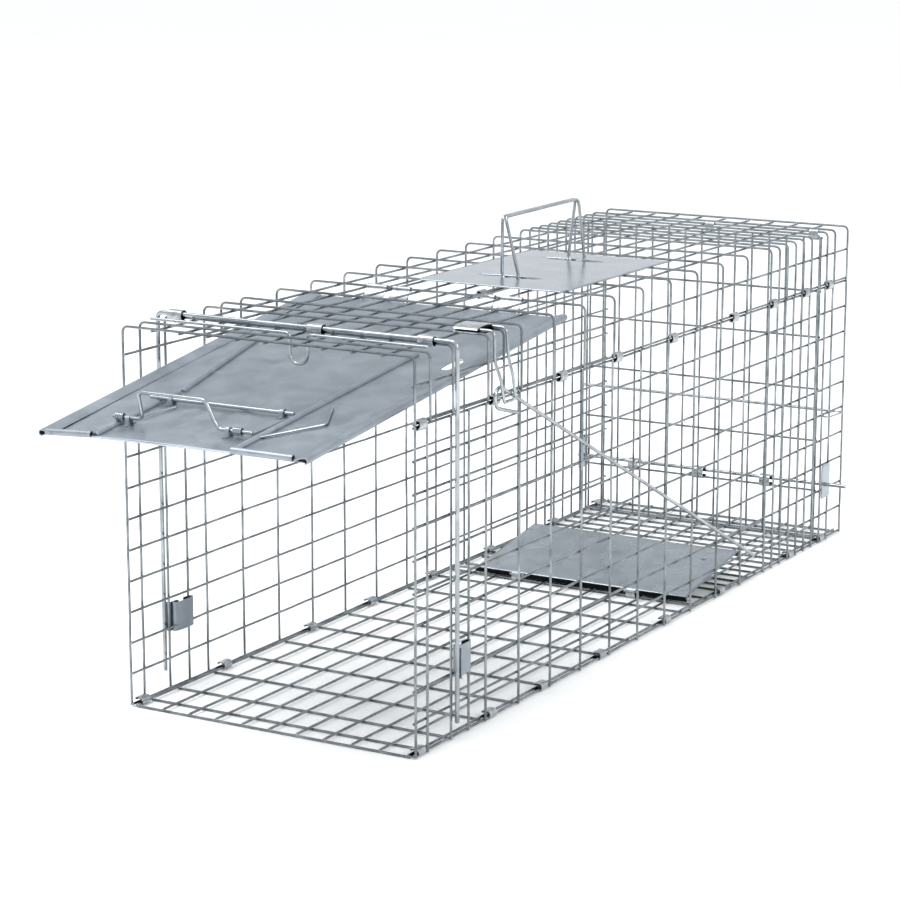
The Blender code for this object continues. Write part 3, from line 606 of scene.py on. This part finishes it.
def door():
    """The sheet door: skin, rolled hems and front edge, hinge rolls, saddles, and the latch that rides on it."""
    slot = (98.5, -153.0, 4.5, 13.0, 4.0)
    skin = flat_sheet(-DOOR_HALF, DOOR_HALF, -DOOR_LENGTH, -13.0, [slot], door_height, 2.2)
    skin = moved(skin, door_outline)
    # The door's sheet pieces take the darker copy of the galvanised finish, whose darker tone is painted shade.
    piece("door_skin", moved(skin, door_place), "door", DOOR_ZINC, ["door_panel"], wall=SHEET,
          weld=True)
    centre = -DOOR_DROP + HEM_R
    roll = arc(-DOOR_LENGTH, centre, HEM_R, 270, -30, 22)
    rolls = [bent_strip(roll, FRONT_LEFT + 2.9, -74), bent_strip(roll, 50, 102),
             bent_strip(arc(-DOOR_LENGTH, centre, HEM_R, 270, 215, 6), -74, 50)]
    piece("door_front_rolls", moved(joined(rolls), door_place), "door", DOOR_ZINC, turned=True)
    hems, linings = [], []
    for side in (-1, 1):
        fold = np.concatenate([[(-0.5, -DOOR_DROP)], arc(0, centre, HEM_R, 270, 450, 16),
                               [(x, -DOOR_DROP + z) for x, z in ((-3.0, 3.9), (-8.0, 2.2), (-9.5, 1.2))]])
        hem = bent_strip(fold * (side, 1), -DOOR_LENGTH - 3, -16, along=1)
        hem[0][:, 0] += door_edge(side, hem[0][:, 1])
        hems.append(hem)
        y = np.linspace(-DOOR_LENGTH - 2.6, -16.4, 3)
        linings.append(tube(np.stack([door_edge(side, y), y, np.full(3, centre)], 1), 1.6, 8, cut=0.1))
    linings += [tube([(low, -DOOR_LENGTH, centre), (high, -DOOR_LENGTH, centre)], 1.6, 8, cut=0.1)
                for low, high in ((FRONT_LEFT + 3.2, -74.4), (50.4, 101.6))]
    piece("door_side_hems", moved(joined(hems), door_place), "door", DOOR_ZINC, turned=True)
    # The dark tubes inside the hems and rolls paint the shade in their hollows and open ends.
    piece("door_roll_insides", moved(joined(linings), door_place), "door", PAINTED_SHADE_BLACK)
    ribs = [tube([(ax, ay, -DOOR_DROP + 1.1), (bx, by, -DOOR_DROP + 1.1)], 2.6, 14, cut=2.5)
            for (ax, ay), (bx, by) in RIBS]
    piece("door_pressed_ribs", moved(joined(ribs), door_place), "door", DOOR_ZINC)
    curl = 1.85
    up = np.concatenate([[(-15.5, -DOOR_DROP), (-13.0, -DOOR_DROP + 0.2), (-curl - 2.2, -DOOR_DROP + 4.2)],
                         arc(0, 0, curl, 200, -85, 18)])
    tabs = [bent_strip(up, low, high) for low, high in ((-74, -54.6), (-48.6, -32), (44, 48.6), (54.6, 74))]
    piece("door_hinge_rolls", moved(joined(tabs), hinge_place), "door", RING_STRIP, turned=True)
    arches = []
    for x, (y, z), r in ((-62, CRANK, CRANK_R), (27, CRANK, CRANK_R),
                         (-60, LATCH_ROD, LATCH_ROD_R), (40, LATCH_ROD, LATCH_ROD_R)):
        reach = r + 0.3 + SHEET / 2
        foot = DOOR_TOP + 0.5
        line = np.concatenate([[(y + reach + 4, foot), (y + reach + 0.8, foot)], arc(y, z, reach, 0, 180, 12),
                               [(y - reach - 0.8, foot), (y - reach - 4, foot)]])
        arches.append(bent_strip(line, x - 1.7, x + 1.7))
    piece("door_saddles", moved(joined(arches), door_place), "door", DOOR_ZINC, turned=True)
    crank = [(-76, 0, 0), (-49, 0, 0), (-51, 0, 21), (9, 0, 21), (16, 0, 4), (19, 0, 0), (48, 0, 0)]
    path = rounded(crank, 4.5, 8) + (0, *CRANK)
    piece("door_latch_crank", moved(tube(path, CRANK_R, 14), hinge_place), "latch_crank", BRIGHT_WIRE,
          ["latch_crank"])
    rod = np.array([(-79, *LATCH_ROD), (0, *LATCH_ROD), (50, *LATCH_ROD)], float)
    piece("door_latch_bar", moved(tube(rod, LATCH_ROD_R, 14), hinge_place), "door", BRIGHT_WIRE,
          ["latch_rod"])
    for name, x0, ends in (("left", -72.5, ((-63.5, 9), (-50, 42))), ("right", 32.5, ((42, 9), (47, 42)))):
        # four turns and three quarters at 1.4 mm a turn, then a straight end that lies on the door
        a = np.linspace(0, 2 * np.pi * 4.75, 96)
        coil = np.stack([x0 + 1.4 * a / (2 * np.pi), 2.6 * np.cos(a + np.pi / 2),
                         2.6 * np.sin(a + np.pi / 2)], 1)
        low = DOOR_TOP - CRANK[1] + 0.95
        legs = np.array([(*ends[0], low), (*ends[1], low)], float)
        path = np.concatenate([coil, legs]) + (0, *CRANK)
        piece(f"latch_spring_coil_{name}", moved(tube(path, 0.75, 8, cut=0.15), hinge_place), "door",
              BRIGHT_WIRE, [f"latch_spring_{name}"])
    finger = [(x, y, DOOR_TOP + 1.6) for x, y in ((49, -358), (83, -312), (66, -277))]
    piece("door_finger_wire", moved(tube(rounded(finger, 3, 8), 1.0, 12), hinge_place), "door", BRIGHT_WIRE,
          ["finger_wire"])


# ---------- trigger ----------

def trigger():
    """The sleeve on the roof, its stirrup, the trip plate with its pivot, and the rod between them."""
    line = ring_line(120, 306.6, 26.0, 6.2, 180, gap=9)
    piece("stirrup_sleeve", bent_strip(line, 101, 122), "cage", RING_STRIP, ["trigger_sleeve"],
          edge=EDGE, turned=True)
    # Inside the sleeve, a dark lining paints the shade in its hollow.
    line = ring_line(120, 306.6, 23.4, 3.6, 180, gap=9)
    piece("stirrup_sleeve_inside", bent_strip(line, 102, 121.5, thickness=1.7), "cage", PAINTED_SHADE_BLACK,
          turned=True)
    near, x, z = 134.8, 138.8, ROOF_WIRE_Z  # beside the cage as far as the trip rod, then out round it
    loop = [(104, 110.8, z), (near, 110.8, z), (near, 111.5, 283), (x, 113, 272), (x, 119, 251.5),
            (135.4, 128, 250.5), (x, 137, 251.5), (x, 132, 272), (near + 1, 131, 283), (near, 129.5, z),
            (104, 129.5, z)]
    piece("hanging_stirrup", tube(rounded(loop, 5, 7), 1.25, 12), "cage", BRIGHT_WIRE,
          ["trigger_stirrup"])

    def level(px, py):
        """The plate's level, with a wave of 0.3 mm along its width that fades to its front and rear."""
        return PLATE_CURL + 0.3 * np.sin(px / 34.0) * np.sin(np.pi * (py + 1.2) / 112.7)

    hole = (97.0, 84.0, 2.5, 2.5, 2.0)
    skin = flat_sheet(PLATE_LEFT, PLATE_RIGHT, -1.2, PLATE_DEPTH - 0.5, [hole], level, 3.0)
    front = arc(0, 0, PLATE_CURL, 300, 84, 18)
    curls = [bent_strip(front, low, high)
             for low, high in ((PLATE_LEFT, -62), (-46, 56), (72, PLATE_RIGHT))]
    rear = bent_strip(arc(PLATE_DEPTH, 0, PLATE_CURL, 96, -150, 18), 94, PLATE_RIGHT)
    piece("treadle_skin", moved(skin, plate_place), "trip_plate", SHEET_ZINC, ["trip_plate"],
          wall=SHEET, weld=True)
    piece("treadle_rear_curl", moved(rear, plate_place), "trip_plate", SHEET_ZINC, turned=True)
    # The front curl is drawn in the dark finish: painted shade under the plate's front edge.
    piece("treadle_front_curl", moved(joined(curls), plate_place), "trip_plate", PAINTED_SHADE_BLACK,
          turned=True)
    pivot = PIVOT + np.array([(-119, 0, 0), (0, 0, 0), (122, 0, 0)])
    piece("treadle_pivot_wire", tube(pivot, 1.5, 12), "cage", BRIGHT_WIRE, ["trip_pivot_wire"])
    for name, cx in (("left", -54.0), ("right", 64.0)):
        line = ring_line(490.3, 4.55, 4.2, 7.3, 0)
        piece(f"pivot_clip_{name}", bent_strip(line, cx - 4.5, cx + 4.5), "cage", RING_STRIP,
              [f"pivot_ring_{name}"], turned=True)
    x, (low_y, low_z), (guide_y, guide_z) = TRIP_ROD_X, (600.62, 23.92), (128, 259)
    slope = (guide_z - low_z) / (guide_y - low_y)
    path = [(98, low_y, low_z), (x, low_y, low_z), (x, 117, low_z + slope * (117 - low_y)), (x, 109.5, 259),
            (x, 113, 248), (x, 146, 239)]
    piece("long_trip_rod", tube(rounded(path, 4, 7), 1.5, 12), "trip_rod", BRIGHT_WIRE,
          ["trip_rod"])


# ---------- handle ----------

def handle():
    """The guard plate with its two lens-shaped slots and the doubled wire bail that stands up through them."""
    x0, x1, y0, y1 = GUARD

    def level(x, y):
        """The guard plate's level, crowned by 0.4 mm at its middle."""
        return GUARD_Z + 0.4 * np.sin(np.pi * (x - x0) / (x1 - x0)) * np.sin(np.pi * (y - y0) / (y1 - y0))

    plate = flat_sheet(x0, x1, y0, y1, [(12, 355, 30.5, 6, 1.7), (12, 469, 30.5, 6, 1.7)], level, 3.0)
    piece("hand_guard", plate, "cage", SHEET_ZINC, ["guard_plate"], wall=SHEET, weld=True)
    loops = []
    for side in (-1, 1):
        near, far, half = side * 1.42, side * 8.2, 60.0
        path = [(near, -half, 0), (far, -half, 7), (near - 2, -half - 8, 59.0), (near, half, 60.5),
                (far, half, 7), (near, half, 0)]
        loops.append(tube(rounded(path, 6, 8, closed=True) + (14, 412, 301), 1.4, 12, closed=True))
    piece("lifting_bail", joined(loops), "carry_handle", BRIGHT_WIRE, ["carry_handle"])


# ---------- rear lock ----------

def bracket(side):
    """A flat bracket round its hole: point(a, s) = (1 - s) circle(a) + s outline(a), the outline being the
    rectangle met in direction a."""
    hole_r = 2.15
    a = np.linspace(0, 2 * np.pi, 48, endpoint=False)
    way = np.stack([np.cos(a), np.sin(a)], 1)
    high = np.where(way > 0, (12.5, 20.0), (6.5, 13.5))
    reach = (high / np.maximum(np.abs(way), 1e-9)).min(axis=1)
    s = np.linspace(0, 1, 5)[:, None, None]
    flat = (LOCK_Y, LOCK_Z) + way[None] * (hole_r * (1 - s) + reach[None, :, None] * s)
    points = np.insert(flat.reshape(-1, 2), 0, side * 132.95, axis=1)
    return points, grid_quads(5, 48, wrap=True), np.empty((0, 3), int)


def rear_lock():
    """The lock rod in its brackets and clips, the clips that hang the rear panel, the pin and its keeper."""
    rod = np.array([(x, LOCK_Y, LOCK_Z) for x in (-137, 0, 156)], float)
    piece("rear_lock_bar", tube(rod, ROD_R, 16, cut=0.6), "lock_rod", BRIGHT_WIRE,
          ["rear_lock_rod"])
    for name, side in (("left", -1), ("right", 1)):
        piece(f"rear_plate_{name}", bracket(side), "cage", SHEET_ZINC, [f"rear_bracket_{name}"],
              wall=SHEET, edge=EDGE)
    clips = [bent_strip(ring_line(766.1, 56.0, 8.2, 10.4, 0), x - 5.5, x + 5.5) for x in (-72, 0, 72)]
    piece("rear_bar_clips", joined(clips), "cage", RING_STRIP,
          ["rod_ring_left", "rod_ring_middle", "rod_ring_right"], turned=True)
    # Inside each rear clip, a dark lining paints the shade in its hollow.
    clips = [bent_strip(ring_line(766.1, 56.0, 6.4, 8.6, 0), x - 5, x + 5) for x in (-72, 0, 72)]
    piece("rear_bar_clip_insides", joined(clips), "cage", PAINTED_SHADE_BLACK, turned=True)
    clips = [bent_strip(ring_line(REAR_Y, 302.2, 2.9, 8.4, 0), x - 4.5, x + 4.5) for x in (8, 117)]
    piece("rear_hang_clips", joined(clips), "cage", RING_STRIP,
          ["hang_ring_left", "hang_ring_right"], turned=True)
    pin = rounded([(-136, 772, 75), (-136, 772, 131), (134, 772, 131)], 6, 8)
    piece("rear_pin", tube(pin, 1.5, 12), "lock_pin", BRIGHT_WIRE, ["rear_lock_pin"])
    keep = [(127.5, 774.5), (131, 764), (134.5, 761), (138, 764), (138, 796), (134.5, 800), (129, 797),
            (127.5, 790)]
    path = rounded([(x, y, 125.8 - 0.04 * (y - 780)) for x, y in keep], 3, 5, closed=True)
    piece("pin_keeper_loop", tube(path, 0.9, 10, closed=True), "cage", BRIGHT_WIRE,
          ["pin_keeper_ring"])


# ---------- studio ----------

def area_light(name, place, aim, size, power, tint="#FFFFFF"):
    """A soft square light at place, turned to aim, both in metres, size metres wide, with power in watts."""
    data = bpy.data.lights.new(name, "AREA")
    data.shape, data.size, data.energy, data.color = "SQUARE", size, power, linear(tint)[:3]
    lamp = bpy.data.objects.new(name, data)
    bpy.context.scene.collection.objects.link(lamp)
    lamp.location = place
    way = np.array(aim, float) - place
    lamp.rotation_euler = (math.acos(-way[2] / np.linalg.norm(way)), 0,
                           math.atan2(way[1], way[0]) - math.pi / 2)


def studio():
    """White paper under the trap, an even white room, two soft lights, and the viewpoint."""
    edge = 40000.0  # of the paper, so far away that no horizon shows
    points = np.array([(-edge, -edge, 0), (edge, -edge, 0), (edge, edge, 0), (-edge, edge, 0)]) * MM
    mesh = bpy.data.meshes.new("paper_floor")
    mesh.from_pydata(points.tolist(), [], [(0, 1, 2, 3)])
    mesh.materials.append(studio_paper())
    floor = bpy.data.objects.new("paper_floor", mesh)
    bpy.context.scene.collection.objects.link(floor)
    world = bpy.data.worlds.new("studio_room")
    bpy.context.scene.world = world
    world.use_nodes = True
    room = world.node_tree.nodes["Background"]
    room.inputs["Color"].default_value = linear("#F4F6F8")
    room.inputs["Strength"].default_value = 1.12
    area_light("overhead_softbox", (-0.8, -0.6, 3.0), (0, 0.35, 0), 2.2, 80)
    area_light("side_softbox", (3.0, -0.6, 1.8), (0, 0.35, 0.1), 1.4, 40)
    data = bpy.data.cameras.new("viewpoint")
    data.lens, data.sensor_width = 111.7, 36.0
    data.clip_end = 200
    eye = bpy.data.objects.new("viewpoint", data)
    bpy.context.scene.collection.objects.link(eye)
    eye.location = (1.1555, -1.7003, 0.6680)
    back = np.array((0.4935, -0.8434, 0.2125))
    eye.rotation_euler = (math.acos(back[2] / np.linalg.norm(back)), 0,
                          math.atan2(back[1], back[0]) + math.pi / 2)
    bpy.context.scene.camera = eye
    bpy.context.scene.view_settings.view_transform = "Standard"


cage()
front_frame()
door()
trigger()
handle()
rear_lock()
studio()
